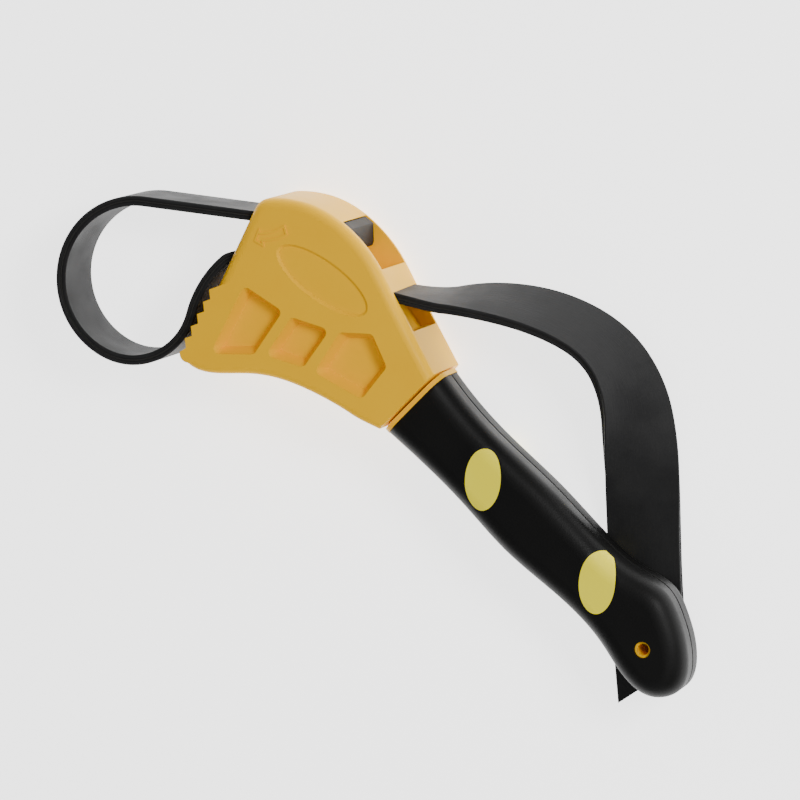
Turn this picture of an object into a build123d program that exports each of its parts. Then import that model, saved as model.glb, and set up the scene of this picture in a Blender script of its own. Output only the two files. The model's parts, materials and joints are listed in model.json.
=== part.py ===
from build123d import *

import math
import os

# Rubber strap wrench, lying on its side.  +X runs from the head along the handle, +Z is the
# thickness direction, and the lower side face of the head rests on Z = 0.
# Plan coordinates below are measured from the neck joint, where the handle's collar meets the
# head on the tool's long axis.  NECK places that point so that the origin of the part is the
# centre of its base.

# ---------------------------------------------------------------- driving dimensions (mm)
NECK = (-1.35, 21.75)          # the neck joint, in the frame of the part

HEAD_THICKNESS = 34.0
MID = HEAD_THICKNESS / 2       # height of the middle plane of the whole tool
HEAD_END = -2.5                # where the head stops, short of the collar
CROWN_ROUND = 3.4              # rounding along the crown and back of the head
BELLY_ROUND = 2.2              # rounding along the underside of the jaw
CHEEK = 4.2                    # thickness of each side plate beside the strap channels

TOOTH_COUNT = 5
TOOTH_FIRST = (-77.1, -22.7)   # tip of the first tooth
TOOTH_PITCH = (1.39, -4.58)    # from one tip to the next
TOOTH_CUT = (2.55, -2.05)      # from a tip to the root after it

POCKET_DEPTH = 5.0
POCKET_DRAFT = 24.0
POCKET_CORNER = 2.0
PLAQUE_CENTRE = (-51.5, 8.6)
PLAQUE_RADII = (18.8, 7.0)
PLAQUE_TURN = 11.0
PLAQUE_DEPTH = 0.9
ARROW_HEIGHT = 0.4
ARROW_LINE = 0.6

STRAP_WIDTH = 25.0
RUBBER_PLY = 1.4
CORD_PLY = 0.6
STRAP_THICKNESS = 2 * RUBBER_PLY + CORD_PLY
FEED_ANGLE = 31.5              # slope of the feed channel through the head, degrees
TAIL_START = (-66.0, -1.2)     # where the free tail begins, inside the feed channel

COLLAR_START = -1.8
COLLAR_WIDTH = 28.4
GRIP_START = -0.2
GRIP_END = 130.0
GRIP_THICKNESS = 25.0
GRIP_ROUND = 7.2
CORE_WIDTH = 19.0
CORE_THICKNESS = 15.0
CORE_END = 101.0
TANG_LENGTH = 13.0
TANG_SIZE = (15.0, 12.0)
HANG_HOLE = (112.0, 0.0)
HANG_RADIUS = 2.0
HANG_WINDOW_RADIUS = 2.8
HANG_TUBE_HALF = 11.0
INLAY_RADII = (10.6, 6.3)
INLAY_TURN = -50.0
INLAY_PLACES = {"neck": (34.0, 0.3), "end": (85.5, 4.6)}
SEAM_DEPTH = 0.5

# The strap from the feed channel back to its anchored end: (radius, turn) of each bend, with
# a straight lead at each end.  A positive turn is to the left.
LOOP_LEAD = 14.5
LOOP_BENDS = [(6.0, 53.3), (38.0, 34.1), (22.6, -100.0), (27.6, -160.0)]
LOOP_RUN = 67.3

# The free tail, through the head, out at the back, round in a low arch and flat under the end
# of the handle: (x, y, z, lean).  Lean is 0 on edge and 90 with the strap flat.
TAIL_ROUTE = [
    (-66.0, -1.2, 17.0, 0.0),
    (-25.2, 23.8, 17.0, 0.0),
    (-10.5, 40.2, 17.0, 17.0),
    (9.0, 54.0, 17.0, 26.0),
    (29.0, 60.4, 16.6, 28.0),
    (47.0, 55.0, 13.2, 42.0),
    (62.5, 41.5, 8.0, 66.0),
    (77.0, 26.0, 2.5, 88.0),
    (100.0, 4.0, 1.8, 90.0),
    (126.0, -17.8, 1.8, 90.0),
]
TAIL_SECTIONS = 44
TAIL_POINT_CUT = 14.0          # how far one edge of the cut end stands back from the other

os.makedirs("parts", exist_ok=True)


def level(height):
    """The plan at a height, with its origin over the neck joint."""
    return Plane(origin=(NECK[0], NECK[1], height))


def across(distance, facing):
    """The plane across the handle at a distance along it, looking towards +X or -X."""
    return Plane(origin=(NECK[0] + distance, NECK[1], MID), x_dir=(0, 1, 0), z_dir=(facing, 0, 0))


def save(node, name):
    """Label a finished sub-part and write it."""
    node.part.label = name
    export_step(node.part, f"parts/{name}.step")


def polar(start, distance, angle):
    """The point at a distance from start, in a direction given in degrees."""
    turn = math.radians(angle)
    return (start[0] + distance * math.cos(turn), start[1] + distance * math.sin(turn))


# ---------------------------------------------------------------- outlines of the head
def head_outline():
    """Side view of the head: front, toothed jaw, belly, neck, back and crown."""
    jaw_top = (-76.0, -20.3)
    brow = (-85.4, 8.0)
    neck_low = (HEAD_END, -13.0)
    neck_high = (HEAD_END, 13.9)
    Line(brow, jaw_top)
    place = jaw_top
    tip = TOOTH_FIRST
    for _ in range(TOOTH_COUNT):
        root = (tip[0] + TOOTH_CUT[0], tip[1] + TOOTH_CUT[1])
        Line(place, tip)
        Line(tip, root)
        place = root
        tip = (tip[0] + TOOTH_PITCH[0], tip[1] + TOOTH_PITCH[1])
    chin = (-69.6, -45.6)
    Line(place, chin)
    ThreePointArc(chin, (-68.3, -46.7), (-66.4, -46.9))
    Spline(
        (-66.4, -46.9), (-57.3, -43.3), (-47.4, -33.3), (-32.4, -23.4), (-14.8, -17.2), neck_low,
        tangents=[(1, 0.02), (1, 0.42)],
    )
    Line(neck_low, neck_high)
    back = (-30.4, 22.2)
    Line(neck_high, back)
    Spline(
        back, (-42.5, 25.9), (-56.0, 27.2), (-71.5, 23.9), (-82.2, 16.6), brow,
        tangents=[(-1, 0.3), (0.33, -1)],
    )


def arrow_outline():
    """A curved arrow that points down along the front of the head."""
    ThreePointArc((-78.0, 4.4), (-75.4, 7.9), (-73.8, 12.4))
    Line((-73.8, 12.4), (-70.6, 10.8))
    ThreePointArc((-70.6, 10.8), (-72.7, 6.2), (-75.2, 3.1))
    Polyline((-75.2, 3.1), (-73.7, 1.9), (-77.5, 0.8), (-79.3, 5.1), (-78.0, 4.4))


POCKETS = [
    [(-69.5, -12.6), (-53.8, -8.9), (-50.6, -26.9), (-61.6, -38.3)],
    [(-50.4, -8.1), (-37.9, -1.3), (-35.4, -17.2), (-47.6, -24.2)],
    [(-35.0, 0.6), (-26.6, 8.6), (-15.2, 4.3), (-13.7, -9.9), (-31.7, -15.6)],
]

# The channels between the side plates, in side view.
FEED_CHANNEL = [(-84.6, -2.8), (-67.6, 0.9), (-31.4, 23.0), (-33.0, 30.0), (-12.0, 30.0),
                (-18.4, 17.2), (-20.6, 13.9), (-33.5, 15.9), (-65.2, -3.4), (-72.0, -7.6),
                (-76.3, -12.6), (-77.6, -19.0), (-90.0, -20.0)]
BEAD_SEAT = [(-60.9, 34.0), (-60.9, 26.4), (-65.3, 23.4), (-89.0, 4.6), (-87.0, 0.0),
             (-62.6, 19.4), (-60.6, 16.4), (-51.0, 14.0), (-43.8, 18.0), (-40.2, 24.9),
             (-38.0, 34.0)]

# The strap's thick end in side view: front face, top, sloping rear and a small lip.
BEAD_OUTLINE = [(-61.1, 20.1), (-64.2, 23.9), (-61.2, 25.9), (-60.5, 26.6), (-57.2, 27.0),
                (-52.6, 22.6), (-51.9, 21.2), (-53.6, 20.1), (-57.5, 18.7)]


# ---------------------------------------------------------------- recesses in the side faces
with BuildPart() as recesses:
    for corners in POCKETS:
        with BuildSketch(level(HEAD_THICKNESS)) as pocket:
            with BuildLine():
                Polyline(*corners, close=True)
            make_face()
            fillet(pocket.vertices(), radius=POCKET_CORNER)
        extrude(amount=-POCKET_DEPTH, taper=POCKET_DRAFT)
    # Oval recess with sloped sides, blank.
    with BuildSketch(level(HEAD_THICKNESS)):
        with Locations(Location((*PLAQUE_CENTRE, 0), PLAQUE_TURN)):
            Ellipse(*PLAQUE_RADII)
    with BuildSketch(level(HEAD_THICKNESS - PLAQUE_DEPTH)):
        with Locations(Location((*PLAQUE_CENTRE, 0), PLAQUE_TURN)):
            Ellipse(PLAQUE_RADII[0] - PLAQUE_DEPTH, PLAQUE_RADII[1] - PLAQUE_DEPTH)
    loft()
    mirror(about=level(MID))

# ---------------------------------------------------------------- head moulding
with BuildPart() as head:
    with BuildSketch(level(0)):
        with BuildLine():
            head_outline()
        make_face()
    extrude(amount=HEAD_THICKNESS)
    # Soft edges all round, except along the front and the teeth.
    rims = head.edges().filter_by(lambda e: abs(e.center().Z - MID) > MID - 0.01)
    crown = rims.filter_by(lambda e: e.center().Y - NECK[1] > 11 and e.length > 5)
    fillet(crown, radius=CROWN_ROUND)
    rims = head.edges().filter_by(lambda e: abs(e.center().Z - MID) > MID - 0.01)
    belly = rims.filter_by(lambda e: e.center().Y - NECK[1] < -20 and e.length > 60)
    fillet(belly, radius=BELLY_ROUND)

    # Strap channels between the side plates, open at the front and the back.
    with BuildSketch(level(CHEEK)):
        for outline in (FEED_CHANNEL, BEAD_SEAT):
            with BuildLine():
                Polyline(*outline, close=True)
            make_face()
    extrude(amount=HEAD_THICKNESS - 2 * CHEEK, mode=Mode.SUBTRACT)

    # Socket for the tang of the handle core.
    with BuildSketch(across(HEAD_END, -1)):
        Rectangle(TANG_SIZE[0], TANG_SIZE[1])
    extrude(amount=TANG_LENGTH, mode=Mode.SUBTRACT)

    # Drafted pockets and a shallow oval recess, alike in both side faces.
    add(recesses.part, mode=Mode.SUBTRACT)
    # Raised outline of a curved arrow on the upper face, for the tightening direction.
    with BuildSketch(level(HEAD_THICKNESS)):
        with BuildLine():
            arrow_outline()
        make_face()
        offset(amount=-ARROW_LINE, mode=Mode.SUBTRACT)
    extrude(amount=ARROW_HEIGHT)

save(head, "head_moulding")


# ---------------------------------------------------------------- handle core
def core_plan():
    """Plan of the bar inside the grip, with a round boss about the hang hole."""
    with Locations(((COLLAR_START + CORE_END) / 2, 1.0)):
        Rectangle(CORE_END - COLLAR_START, CORE_WIDTH)
    with Locations(((CORE_END + HANG_HOLE[0]) / 2 - 4, 1.0)):
        Rectangle(HANG_HOLE[0] - CORE_END + 8, CORE_WIDTH - 8)
    with Locations(HANG_HOLE):
        Circle(7.0)


with BuildPart() as core:
    # Bar and boss.
    with BuildSketch(level(MID - CORE_THICKNESS / 2)):
        core_plan()
    extrude(amount=CORE_THICKNESS)
    # Lightening slots through the bar, which leave a web round them.
    with BuildSketch(level(MID - CORE_THICKNESS / 2)):
        for middle in (19.0, 60.0):
            with Locations((middle, 1.0)):
                RectangleRounded(22.0, CORE_WIDTH - 8, 3.0)
    extrude(amount=CORE_THICKNESS, mode=Mode.SUBTRACT)
    # Collar that shows as a thin band between the head and the grip.
    with BuildSketch(across(COLLAR_START, 1)):
        RectangleRounded(COLLAR_WIDTH, GRIP_THICKNESS + 0.6, GRIP_ROUND)
    extrude(amount=GRIP_START - COLLAR_START)
    # Tang that plugs into the head.
    with BuildSketch(across(COLLAR_START, -1)):
        Rectangle(TANG_SIZE[0] - 0.2, TANG_SIZE[1] - 0.2)
    extrude(amount=TANG_LENGTH)
    # Tube round the hang hole, which reaches nearly to both faces of the grip.
    with BuildSketch(level(MID)):
        with Locations(HANG_HOLE):
            Circle(HANG_WINDOW_RADIUS)
    extrude(amount=HANG_TUBE_HALF, both=True)
    with BuildSketch(level(MID)):
        with Locations(HANG_HOLE):
            Circle(HANG_RADIUS)
    extrude(amount=MID, both=True, mode=Mode.SUBTRACT)

save(core, "handle_core")


# ---------------------------------------------------------------- soft grip
def grip_outline():
    """Side view of the grip: waist behind the collar, palm swell and hooked end."""
    high = (GRIP_START, 13.9)
    low = (GRIP_START, -14.1)
    Line(low, high)
    Spline(
        high, (11.0, 12.6), (30.0, 12.4), (52.0, 13.6), (76.0, 13.5), (90.0, 15.0),
        (103.5, 18.0), (113.0, 15.0), (123.5, 8.6), (GRIP_END, -2.0), (125.5, -10.4),
        (114.0, -12.9), (101.0, -10.6), (84.0, -9.9), (56.0, -12.8), (30.0, -12.4),
        (11.0, -13.2), low,
        tangents=[(1, -0.15), (-1, -0.08)],
    )


with BuildPart() as grip_envelope:
    with BuildSketch(level(MID)):
        with BuildLine():
            grip_outline()
        make_face()
    extrude(amount=GRIP_THICKNESS / 2)
    shoulder = grip_envelope.edges().group_by(Axis.Z)[-1].sort_by(Edge.length)[-1]
    fillet(shoulder, radius=GRIP_ROUND)
    # Half of the V seam that runs round the edge where the two shells meet.
    parting = grip_envelope.edges().group_by(Axis.Z)[0].sort_by(Edge.length)[-1]
    chamfer(parting, length=SEAM_DEPTH)

with BuildPart() as grip_upper:
    add(grip_envelope.part)
    add(core.part, mode=Mode.SUBTRACT)
    # Windows for the hang hole and the two oval inlays.
    with BuildSketch(level(MID)):
        with Locations(HANG_HOLE):
            Circle(HANG_WINDOW_RADIUS)
    extrude(amount=GRIP_THICKNESS, mode=Mode.SUBTRACT)
    with BuildSketch(level(MID + CORE_THICKNESS / 2)):
        for centre in INLAY_PLACES.values():
            with Locations(Location((*centre, 0), INLAY_TURN)):
                Ellipse(*INLAY_RADII)
    extrude(amount=GRIP_THICKNESS, mode=Mode.SUBTRACT)

save(grip_upper, "grip_shell_upper")

with BuildPart() as grip_lower:
    mirror(grip_upper.part, about=level(MID))

save(grip_lower, "grip_shell_lower")


# ---------------------------------------------------------------- oval inlays in the grip
for place, centre in INLAY_PLACES.items():
    with BuildPart() as inlay:
        add(grip_envelope.part)
        with BuildSketch(level(MID + CORE_THICKNESS / 2)):
            with Locations(Location((*centre, 0), INLAY_TURN)):
                Ellipse(INLAY_RADII[0] - 0.05, INLAY_RADII[1] - 0.05)
        extrude(amount=GRIP_THICKNESS, mode=Mode.INTERSECT)
    save(inlay, f"grip_inlay_{place}_upper")
    with BuildPart() as twin:
        mirror(inlay.part, about=level(MID))
    save(twin, f"grip_inlay_{place}_lower")


# ---------------------------------------------------------------- anchored end of the strap
STRAP_LAYERS = {
    "outer_rubber": (CORD_PLY / 2, STRAP_THICKNESS / 2),
    "cord_ply": (-CORD_PLY / 2, CORD_PLY / 2),
    "inner_rubber": (-STRAP_THICKNESS / 2, -CORD_PLY / 2),
}


def loop_edge(shift):
    """The strap's plan line from the tail to the bead, moved sideways by shift (left is +)."""
    heading = FEED_ANGLE + 180
    start = polar(TAIL_START, shift, heading + 90)
    edges = [Line(start, polar(start, LOOP_LEAD, heading))]
    for radius, turn in LOOP_BENDS:
        last = edges[-1]
        shifted = radius - shift if turn > 0 else radius + shift
        edges.append(JernArc(last @ 1, last % 1, shifted, turn))
    last = edges[-1]
    edges.append(Line(last @ 1, last @ 1 + (last % 1) * LOOP_RUN))
    return edges


for layer, (near, far) in STRAP_LAYERS.items():
    with BuildPart() as ply:
        with BuildSketch(level(MID - STRAP_WIDTH / 2)):
            with BuildLine():
                one = loop_edge(near)
                two = loop_edge(far)
                Line(one[0] @ 0, two[0] @ 0)
                Line(one[-1] @ 1, two[-1] @ 1)
            make_face()
        extrude(amount=STRAP_WIDTH)
    save(ply, f"loop_{layer}")

# Thick moulded end that bears on the head behind the anchor slot.
with BuildPart() as bead:
    with BuildSketch(level(MID - STRAP_WIDTH / 2)):
        with BuildLine():
            Polyline(*BEAD_OUTLINE, close=True)
        make_face()
    extrude(amount=STRAP_WIDTH)

save(bead, "strap_bead")


# ---------------------------------------------------------------- free tail
def bend_radii(points):
    """For each corner of a route, 0.45 of the shorter run over the tangent of half the turn."""
    radii = []
    for before, corner, after in zip(points, points[1:], points[2:]):
        first = corner - before
        second = after - corner
        half_turn = math.radians(first.get_angle(second)) / 2
        radii.append(0.45 * min(first.length, second.length) / math.tan(half_turn))
    return radii


def lean_at(distance, marks):
    """The strap's lean at a distance along the route, between the two marks beside it."""
    for (start, lean), (end, next_lean) in zip(marks, marks[1:]):
        if distance <= end:
            share = (distance - start) / (end - start)
            ease = share * share * (3 - 2 * share)
            return lean + (next_lean - lean) * ease
    return marks[-1][1]


tail_points = [Vector(NECK[0] + x, NECK[1] + y, z) for x, y, z, _ in TAIL_ROUTE]
tail_radii = bend_radii(tail_points)
print("tail bend radii", [round(radius, 1) for radius in tail_radii])
tail_path = FilletPolyline(*tail_points, radius=tail_radii)
print("tail length", round(tail_path.length, 1))

distance = 0.0
lean_marks = [(0.0, TAIL_ROUTE[0][3])]
for before, after, stop in zip(tail_points, tail_points[1:], TAIL_ROUTE[1:]):
    distance += (after - before).length
    lean_marks.append((distance, stop[3]))
lean_marks = [(mark * tail_path.length / distance, lean) for mark, lean in lean_marks]

tail_planes = []
for step in range(TAIL_SECTIONS + 1):
    share = step / TAIL_SECTIONS
    lean = math.radians(lean_at(share * tail_path.length, lean_marks))
    ahead = tail_path % share
    outward = Vector(-ahead.Y, ahead.X, 0).normalized()
    width_way = Vector(0, 0, 1) * math.cos(lean) - outward * math.sin(lean)
    width_way = (width_way - ahead * width_way.dot(ahead)).normalized()
    tail_planes.append(Plane(origin=tail_path @ share, x_dir=width_way, z_dir=ahead))

# The free end is cut on a slant, so that one edge ends in a point for threading.
tip_heading = math.degrees(math.atan2(
    TAIL_ROUTE[-1][1] - TAIL_ROUTE[-2][1], TAIL_ROUTE[-1][0] - TAIL_ROUTE[-2][0]
))
tail_tip = polar(TAIL_ROUTE[-1], STRAP_WIDTH / 2 + 0.1, tip_heading - 90)
tail_heel = polar(TAIL_ROUTE[-1], STRAP_WIDTH / 2 + 0.1, tip_heading + 90)
with BuildPart() as end_cut:
    with BuildSketch(level(-1)):
        with BuildLine():
            Polyline(
                tail_tip, polar(tail_tip, 5, tip_heading), polar(tail_heel, 5, tip_heading),
                polar(tail_heel, -TAIL_POINT_CUT, tip_heading), close=True,
            )
        make_face()
    extrude(amount=8)

for layer, (near, far) in STRAP_LAYERS.items():
    with BuildPart() as ply:
        for plane in tail_planes:
            with BuildSketch(plane):
                with Locations((0, (near + far) / 2)):
                    Rectangle(STRAP_WIDTH, far - near)
        loft(ruled=True)
        add(end_cut.part, mode=Mode.SUBTRACT)
    save(ply, f"tail_{layer}")
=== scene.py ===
"""Strap wrench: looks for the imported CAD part, with a studio floor, soft light and the camera."""

import json
import math

import bpy
from mathutils import Matrix, Vector


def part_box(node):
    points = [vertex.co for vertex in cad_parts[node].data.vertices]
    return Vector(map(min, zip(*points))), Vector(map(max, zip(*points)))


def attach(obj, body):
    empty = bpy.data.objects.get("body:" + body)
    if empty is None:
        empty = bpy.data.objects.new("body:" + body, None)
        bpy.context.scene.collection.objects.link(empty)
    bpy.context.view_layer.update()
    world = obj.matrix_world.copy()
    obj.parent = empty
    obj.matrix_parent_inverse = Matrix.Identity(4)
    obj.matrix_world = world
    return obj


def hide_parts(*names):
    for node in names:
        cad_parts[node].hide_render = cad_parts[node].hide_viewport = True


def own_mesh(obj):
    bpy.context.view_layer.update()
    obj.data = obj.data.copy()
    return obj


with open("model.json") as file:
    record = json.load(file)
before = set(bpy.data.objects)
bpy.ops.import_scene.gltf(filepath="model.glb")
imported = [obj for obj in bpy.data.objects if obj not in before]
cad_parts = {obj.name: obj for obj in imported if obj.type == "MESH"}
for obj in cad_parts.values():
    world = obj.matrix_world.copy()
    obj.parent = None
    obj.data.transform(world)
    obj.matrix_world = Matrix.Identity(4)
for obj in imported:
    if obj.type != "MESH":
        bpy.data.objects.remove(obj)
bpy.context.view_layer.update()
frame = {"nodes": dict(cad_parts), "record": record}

# ---------------------------------------------------------------- sizes (metres) and places
# Plan positions are measured from the neck joint, which lies this far before the hang hole.
NECK_TO_HANG_HOLE = 0.112
mounts = {mount["name"]: mount for mount in frame["record"]["mounts"]}
hang = mounts["hang_hole"]["pos_m"]
NECK = Vector((hang[0] - NECK_TO_HANG_HOLE, hang[1], 0.0))
HALF_HEAD = 0.017
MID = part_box("head_moulding")[0][2] + HALF_HEAD    # height of the tool's middle plane
UP = Vector((0.0, 0.0, 1.0))

STRAP_WIDTH = 0.025
CORNER_EASE = 0.00032          # rounding of a ply's edges
WIDTH_STEPS = 8                # faces across the strap
PLIES = {  # from, to across the strap's thickness, and how far the edges stand back
    "outer_rubber": (0.0003, 0.0017, 0.0),
    "cord_ply": (-0.0003, 0.0003, 0.00025),
    "inner_rubber": (-0.0017, -0.0003, 0.0),
}

# The loop, in plan: a straight lead inside the head, (radius, turn) of each bend, and the
# straight run back to the thick end.
TAIL_START = Vector((-0.066, -0.0012))
FEED_ANGLE = 31.5
LOOP_LEAD = 0.0145
LOOP_BENDS = [(0.006, 53.3), (0.038, 34.1), (0.0226, -100.0), (0.0276, -160.0)]
LOOP_RUN = 0.0673
LOOP_FRONT = Vector((-0.96, -0.28, 0.0)).normalized()      # the way the loop reaches out
LOOP_ANCHOR = NECK + Vector((-0.075, -0.032, MID))          # a point of the jaw
STRAIGHT_STEPS = 60
DEGREES_A_STEP = 2.5

# The free tail (x, y, z, lean): through the head, round in a low arch and flat under the end of
# the handle. Lean is 0 on edge and 90 with the strap flat.
TAIL_ROUTE = [
    (-0.0660, -0.0012, 0.0170, 0.0),
    (-0.0252, 0.0238, 0.0170, 0.0),
    (-0.0105, 0.0402, 0.0170, 17.0),
    (0.0090, 0.0540, 0.0170, 26.0),
    (0.0290, 0.0604, 0.0166, 28.0),
    (0.0470, 0.0550, 0.0132, 42.0),
    (0.0625, 0.0415, 0.0080, 66.0),
    (0.0770, 0.0260, 0.0025, 88.0),
    (0.1000, 0.0040, 0.0018, 90.0),
    (0.1260, -0.0178, 0.0018, 90.0),
]
LEAN_REACH = 0.016             # the lean is evened out over this much of the tail each side
LEAN_STEPS = 8
POINT_CUT = 0.014              # how far one edge of the slanted end stands back from the other
CUT_SPAN = 0.03                # the stretch before the end that is drawn back

# ---------------------------------------------------------------- camera
CAMERA_FROM_NECK = Vector((0.18424, 0.47551, 1.531))
camera_data = bpy.data.cameras.new("camera")
camera_data.sensor_width = 36.0
camera_data.lens = 212.4
camera_data.clip_start = 0.05
camera_data.clip_end = 20.0
camera = bpy.data.objects.new("camera", camera_data)
camera_axes = Matrix((
    (0.68038, -0.72310, 0.11917),
    (0.66936, 0.67937, 0.30069),
    (-0.29839, -0.12482, 0.94625),
))
camera.matrix_world = Matrix.Translation(NECK + CAMERA_FROM_NECK) @ camera_axes.to_4x4()
bpy.context.collection.objects.link(camera)
bpy.context.scene.camera = camera


# ---------------------------------------------------------------- materials
# Sockets of the Mix node when it mixes colours.
MIX_FACTOR = 0
MIX_FIRST = 6
MIX_SECOND = 7
MIX_RESULT = 2


def linear(*srgb):
    """A colour given as 0 to 255 display values, as linear RGBA."""
    values = [part / 255 for part in srgb]
    return [v / 12.92 if v <= 0.04045 else ((v + 0.055) / 1.055) ** 2.4 for v in values] + [1.0]


def material(name, dark, light, rough, bump, grain, patch=60.0, specular=0.5, stretch=None):
    """Principled surface with soft colour patches, uneven gloss and a fine grain.

    dark and light are the colours of the patches, rough the (low, high) roughness, bump the
    height of the grain in metres, and grain and patch the scale of each noise per metre. With
    stretch, the grain follows the surface's UVs, scaled by it, and not the object's axes."""
    made = bpy.data.materials.new(name)
    made.use_nodes = True
    nodes = made.node_tree.nodes
    links = made.node_tree.links
    shader = nodes["Principled BSDF"]
    shader.inputs["Specular IOR Level"].default_value = specular
    place = nodes.new("ShaderNodeTexCoord")
    source = place.outputs["Object"]

    patches = nodes.new("ShaderNodeTexNoise")
    patches.inputs["Scale"].default_value = patch
    patches.inputs["Detail"].default_value = 4.0
    links.new(source, patches.inputs["Vector"])
    blend = nodes.new("ShaderNodeMix")
    blend.data_type = "RGBA"
    blend.inputs[MIX_FIRST].default_value = dark
    blend.inputs[MIX_SECOND].default_value = light
    links.new(patches.outputs["Fac"], blend.inputs[MIX_FACTOR])
    links.new(blend.outputs[MIX_RESULT], shader.inputs["Base Color"])

    gloss = nodes.new("ShaderNodeMapRange")
    gloss.inputs["From Min"].default_value = 0.3
    gloss.inputs["From Max"].default_value = 0.7
    gloss.inputs["To Min"].default_value = rough[0]
    gloss.inputs["To Max"].default_value = rough[1]
    links.new(patches.outputs["Fac"], gloss.inputs["Value"])
    links.new(gloss.outputs["Result"], shader.inputs["Roughness"])

    fine = nodes.new("ShaderNodeTexNoise")
    fine.inputs["Scale"].default_value = grain
    fine.inputs["Detail"].default_value = 3.0
    fine_place = source
    if stretch:
        squeeze = nodes.new("ShaderNodeMapping")
        squeeze.inputs["Scale"].default_value = stretch
        links.new(place.outputs["UV"], squeeze.inputs["Vector"])
        fine_place = squeeze.outputs["Vector"]
    links.new(fine_place, fine.inputs["Vector"])
    height = nodes.new("ShaderNodeBump")
    height.inputs["Distance"].default_value = bump
    height.inputs["Strength"].default_value = 1.0
    links.new(fine.outputs["Fac"], height.inputs["Height"])
    links.new(height.outputs["Normal"], shader.inputs["Normal"])
    return made


SKINS = {
    "yellow_plastic": material(
        "yellow_plastic", linear(250, 186, 0), linear(255, 196, 0),
        rough=(0.38, 0.46), bump=0.00003, grain=2600.0, specular=0.12,
    ),
    "lemon_plastic": material(
        "lemon_plastic", linear(254, 236, 40), linear(255, 244, 64),
        rough=(0.38, 0.46), bump=0.00002, grain=2600.0, specular=0.25,
    ),
    "grip_rubber": material(
        "grip_rubber", linear(8, 8, 8), linear(14, 14, 13),
        rough=(0.42, 0.52), bump=0.00005, grain=1900.0, specular=0.15,
    ),
    "strap_rubber": material(
        "strap_rubber", linear(24, 24, 25), linear(46, 46, 46),
        rough=(0.46, 0.6), bump=0.00007, grain=1.0, patch=90.0, specular=0.11,
        stretch=(160.0, 2600.0, 1.0),
    ),
    "cord_fabric": material(
        "cord_fabric", linear(20, 20, 18), linear(40, 39, 36),
        rough=(0.8, 0.9), bump=0.00012, grain=2400.0, patch=900.0,
    ),
}
slots = {part["node"]: part["material_slot"] for part in frame["record"]["subparts"]}


def dress(piece, slot):
    """Give a piece the material of the record's slot."""
    piece.data.materials.clear()
    piece.data.materials.append(SKINS[slot])


def soften(piece, width):
    """Small rounds, that wide in metres, on the sharp edges of a CAD node."""
    weld = piece.modifiers.new("weld", "WELD")
    weld.merge_threshold = 0.00001
    bevel = piece.modifiers.new("rounds", "BEVEL")
    bevel.width = width
    bevel.segments = 3
    bevel.limit_method = "ANGLE"
    bevel.angle_limit = math.radians(32)
    bevel.use_clamp_overlap = True
    bevel.harden_normals = True


# ---------------------------------------------------------------- CAD nodes
for name, node in frame["nodes"].items():
    dress(node, slots[name])
ROUNDS = {
    "head_moulding": 0.0006,
    "strap_bead": 0.0006,
    "grip_shell_upper": 0.0004,
    "grip_shell_lower": 0.0004,
}
for name, width in ROUNDS.items():
    soften(frame["nodes"][name], width)


# ---------------------------------------------------------------- strap
def ply_section(near, far, inset):
    """One ply's section as (across the width, through the thickness), with eased corners."""
    half = STRAP_WIDTH / 2 - inset
    ease = min(CORNER_EASE, (far - near) / 4)
    flat = 2 * half - 2 * ease
    rows = [-half + ease + flat * step / WIDTH_STEPS for step in range(WIDTH_STEPS + 1)]
    bottom = [(across, near) for across in rows]
    top = [(across, far) for across in reversed(rows)]
    right = [(half, near + ease), (half, far - ease)]
    left = [(-half, far - ease), (-half, near + ease)]
    return bottom + right + top + left


def strap_mesh(name, stations, section):
    """Sweep a section along stations of (place, width direction, thickness direction, distance)."""
    count = len(section)
    verts = []
    for place, across, through, _ in stations:
        verts += [place + across * u + through * v for u, v in section]
    faces = [tuple(range(count))[::-1]]
    around = [0.0]
    for (u0, v0), (u1, v1) in zip(section, section[1:] + section[:1]):
        around.append(around[-1] + math.hypot(u1 - u0, v1 - v0))
    uvs = [(0.0, 0.0)] * count
    for step in range(len(stations) - 1):
        for side in range(count):
            after = (side + 1) % count
            near_ring = step * count
            far_ring = near_ring + count
            faces.append((near_ring + side, near_ring + after, far_ring + after, far_ring + side))
            begin = stations[step][3]
            end = stations[step + 1][3]
            low = around[side]
            high = around[side + 1]
            uvs += [(begin, low), (begin, high), (end, high), (end, low)]
    last = (len(stations) - 1) * count
    faces.append(tuple(range(last, last + count)))
    uvs += [(0.0, 0.0)] * count
    mesh = bpy.data.meshes.new(name)
    mesh.from_pydata(verts, [], faces)
    layer = mesh.uv_layers.new(name="strap")
    for spot, uv in enumerate(uvs):
        layer.data[spot].uv = uv
    for face in mesh.polygons:
        face.use_smooth = True
    mesh.set_sharp_from_angle(angle=math.radians(30))
    made = bpy.data.objects.new(name, mesh)
    bpy.context.collection.objects.link(made)
    return made


def loop_stations():
    """Stations along the loop, from inside the feed channel to the thick end."""
    heading = math.radians(FEED_ANGLE + 180)
    place = TAIL_START.copy()
    distance = 0.0
    stations = []

    def mark():
        ahead = Vector((math.cos(heading), math.sin(heading), 0.0))
        through = Vector((-ahead.y, ahead.x, 0.0))
        stations.append((NECK + Vector((place.x, place.y, MID)), UP, through, distance))

    mark()
    for radius, turn in [(None, LOOP_LEAD)] + LOOP_BENDS + [(None, LOOP_RUN)]:
        steps = STRAIGHT_STEPS if radius is None else max(6, int(abs(turn) / DEGREES_A_STEP))
        for _ in range(steps):
            if radius is None:
                length = turn / steps
                place = place + Vector((math.cos(heading), math.sin(heading))) * length
            else:
                step_turn = math.radians(turn / steps)
                chord = 2 * radius * math.sin(abs(step_turn) / 2)
                middle = heading + step_turn / 2
                place = place + Vector((math.cos(middle), math.sin(middle))) * chord
                heading += step_turn
                length = radius * abs(step_turn)
            distance += length
            mark()
    return stations
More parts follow.
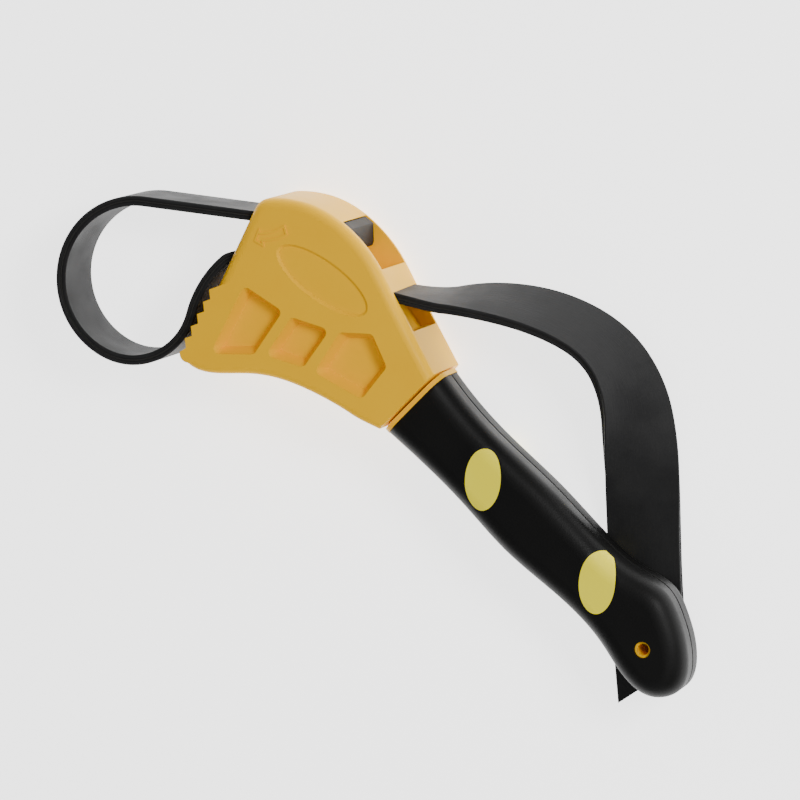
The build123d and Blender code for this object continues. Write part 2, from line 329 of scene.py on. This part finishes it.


# The loop in three stretches; the one in front of the jaw gets a mesh of its own.
loop_line = loop_stations()
outside = [(spot[0] - LOOP_ANCHOR).dot(LOOP_FRONT) > 0 for spot in loop_line]
first_out = outside.index(True)
last_out = len(outside) - 1 - outside[::-1].index(True)
loop_stretches = {
    "feed": loop_line[:first_out + 1],
    "front": loop_line[first_out:last_out + 1],
    "run": loop_line[last_out:],
}
for ply, (near, far, inset) in PLIES.items():
    for stretch, stations in loop_stretches.items():
        piece = strap_mesh(f"strap_{stretch}_{ply}", stations, ply_section(near, far, inset))
        dress(piece, slots[f"loop_{ply}"])
        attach(piece, "tool")
        if stretch == "front":
            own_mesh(piece)
        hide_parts(f"loop_{ply}")

# ---------------------------------------------------------------- free tail
tail_points = [NECK + Vector(point[:3]) for point in TAIL_ROUTE]
tail_curve = bpy.data.curves.new("tail_line", "CURVE")
tail_curve.dimensions = "3D"
tail_curve.resolution_u = 16
tail_spline = tail_curve.splines.new("NURBS")
tail_spline.points.add(len(tail_points) - 1)
for spot, point in zip(tail_spline.points, tail_points):
    spot.co = (*point, 1.0)
tail_spline.order_u = 3
tail_spline.use_endpoint_u = True
tail_guide = bpy.data.objects.new("tail_line", tail_curve)
bpy.context.collection.objects.link(tail_guide)
bpy.context.view_layer.update()
guide_mesh = bpy.data.meshes.new_from_object(tail_guide)
tail_line = [vertex.co.copy() for vertex in guide_mesh.vertices]
bpy.data.objects.remove(tail_guide)

travelled = [0.0]
for before, after in zip(tail_line, tail_line[1:]):
    travelled.append(travelled[-1] + (after - before).length)
along_route = [0.0]
for before, after in zip(tail_points, tail_points[1:]):
    along_route.append(along_route[-1] + (after - before).length)
lean_marks = [(mark * travelled[-1] / along_route[-1], stop[3])
              for mark, stop in zip(along_route, TAIL_ROUTE)]


def lean_at(distance):
    """The strap's lean in degrees at a distance along the tail: 0 on edge, 90 flat."""
    for (start, lean), (end, next_lean) in zip(lean_marks, lean_marks[1:]):
        if distance <= end:
            return lean + (next_lean - lean) * max(distance - start, 0.0) / (end - start)
    return lean_marks[-1][1]


def even_lean(distance):
    """The lean, evened out over a stretch each side so that the strap twists without a kink."""
    steps = range(-LEAN_STEPS, LEAN_STEPS + 1)
    spots = [distance + LEAN_REACH * step / LEAN_STEPS for step in steps]
    weights = [1 - abs(step) / (LEAN_STEPS + 1) for step in steps]
    return sum(lean_at(spot) * weight for spot, weight in zip(spots, weights)) / sum(weights)


tail_stations = []
for index, place in enumerate(tail_line):
    next_place = tail_line[min(index + 1, len(tail_line) - 1)]
    ahead = (next_place - tail_line[max(index - 1, 0)]).normalized()
    lean = math.radians(even_lean(travelled[index]))
    outward = Vector((-ahead.y, ahead.x, 0.0)).normalized()
    across = UP * math.cos(lean) - outward * math.sin(lean)
    across = (across - ahead * across.dot(ahead)).normalized()
    through = ahead.cross(across)
    tail_stations.append((place, across, through, travelled[index]))

# The end is cut on a slant: one edge keeps its point, the other stands back.
end_place = tail_line[-1]
end_across = tail_stations[-1][1]
end_ahead = (tail_line[-1] - tail_line[-2]).normalized()


def cut_slant(piece):
    """Draw the piece's end back so that it lies along the slanted cut."""
    for vertex in piece.data.vertices:
        offset = vertex.co - end_place
        side = offset.dot(end_across) / STRAP_WIDTH + 0.5
        setback = -POINT_CUT * (1 - side)
        reach = offset.dot(end_ahead)
        if reach > -CUT_SPAN:
            vertex.co += end_ahead * (setback * (reach + CUT_SPAN) / CUT_SPAN)


for ply, (near, far, inset) in PLIES.items():
    piece = strap_mesh(f"tail_strap_{ply}", tail_stations, ply_section(near, far, inset))
    cut_slant(piece)
    dress(piece, slots[f"tail_{ply}"])
    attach(piece, "free_tail")
    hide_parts(f"tail_{ply}")

# ---------------------------------------------------------------- floor and light
FLOOR_REACH = 4.0
FLOOR_DROP = 0.0002            # the floor lies this far under z = 0
corners = [(-1, -1), (1, -1), (1, 1), (-1, 1)]
floor_mesh = bpy.data.meshes.new("floor")
floor_mesh.from_pydata(
    [(x * FLOOR_REACH, y * FLOOR_REACH, -FLOOR_DROP) for x, y in corners], [], [(0, 1, 2, 3)]
)
floor = bpy.data.objects.new("floor", floor_mesh)
bpy.context.collection.objects.link(floor)
paper = bpy.data.materials.new("paper")
paper.use_nodes = True
# The paper gives off light of its own, for a pale background.
paper_shader = paper.node_tree.nodes["Principled BSDF"]
paper_shader.inputs["Base Color"].default_value = (0.9, 0.9, 0.9, 1.0)
paper_shader.inputs["Roughness"].default_value = 0.9
paper_shader.inputs["Emission Color"].default_value = (1.0, 1.0, 1.0, 1.0)
paper_shader.inputs["Emission Strength"].default_value = 2.4
floor_mesh.materials.append(paper)

LIGHT_TARGET = Vector((0.0, 0.0, 0.01))


def soft_light(name, place, size, power):
    """A square area light aimed at the tool."""
    lamp = bpy.data.lights.new(name, "AREA")
    lamp.size = size
    lamp.energy = power
    lamp_object = bpy.data.objects.new(name, lamp)
    lamp_object.location = place
    aim = LIGHT_TARGET - Vector(place)
    lamp_object.rotation_euler = aim.to_track_quat("-Z", "Y").to_euler()
    bpy.context.collection.objects.link(lamp_object)


soft_light("key", (0.35, 1.0, 1.0), 0.4, 13.0)
soft_light("top", (0.45, 0.2, 1.5), 0.9, 3.0)
soft_light("fill", (0.9, -0.9, 1.2), 1.2, 3.0)
world = bpy.data.worlds.new("studio")
world.use_nodes = True
world.node_tree.nodes["Background"].inputs["Color"].default_value = (1.0, 1.0, 1.0, 1.0)
world.node_tree.nodes["Background"].inputs["Strength"].default_value = 0.32
bpy.context.scene.world = world
